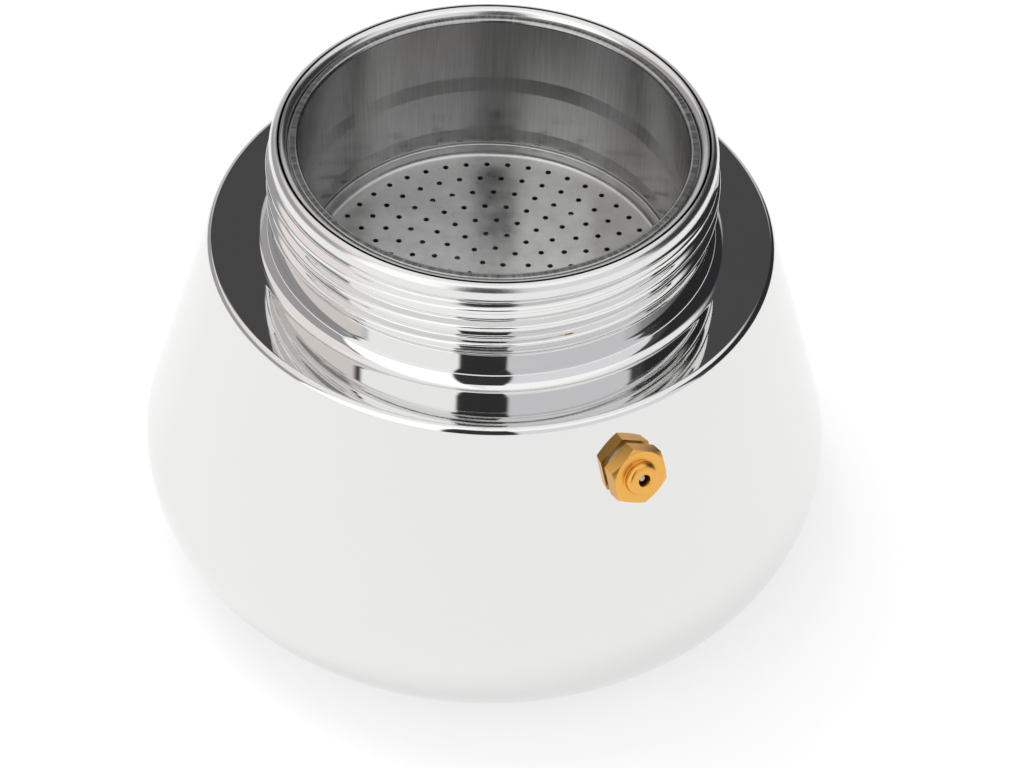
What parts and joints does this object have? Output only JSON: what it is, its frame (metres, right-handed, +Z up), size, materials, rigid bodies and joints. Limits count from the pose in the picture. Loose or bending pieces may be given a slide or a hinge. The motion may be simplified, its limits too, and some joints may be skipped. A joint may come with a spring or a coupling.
{
  "type": "moka pot base",
  "caption": "Base of a stovetop moka pot: polished conical boiler with a threaded neck, brass safety valve, and a lift-out coffee funnel with a perforated plate.",
  "frame": {"origin": "centre of the base, on the surface the pot stands on", "axes": "+Z up through the neck; -Y is the front, and the safety valve faces 27.4 degrees from the front towards +X"},
  "size_m": [0.1024, 0.1024, 0.0703],
  "materials": {
    "polished_steel": "mirror-polished stainless steel",
    "satin_steel": "drawn stainless steel, satin, with fine scratches",
    "base_steel": "turned magnetic stainless steel",
    "aluminium_core": "plain disc, enclosed",
    "spring_steel": "bright drawn steel",
    "brass": "machined, bright",
    "silicone": "matte silicone"
  },
  "bodies": {
    "boiler": {"boiler_wall": "polished_steel", "boiler_collar": "polished_steel", "base_core": "aluminium_core", "base_cap": "base_steel", "valve_body": "brass", "valve_gasket": "silicone", "valve_washer": "silicone", "valve_nut": "brass", "valve_seat": "brass", "valve_spring": "spring_steel"},
    "plunger": {"valve_plunger": "spring_steel", "valve_seal": "silicone"},
    "funnel": {"basket_cup": "satin_steel", "funnel_stem": "satin_steel", "filter_plate": "satin_steel"}
  },
  "joints": [
    {"name": "funnel_lift", "type": "slide", "parent": "boiler", "child": "funnel", "axis": [0, 0, 1], "range_m": [0, 0.063]},
    {"name": "valve_release", "type": "slide", "parent": "boiler", "child": "plunger", "axis": [0.4406, -0.8499, 0.289], "range_m": [0, 0.0012], "stiffness_N_per_m": 400, "springref_m": -0.0015, "deforming": ["valve_spring"]}
  ]
}
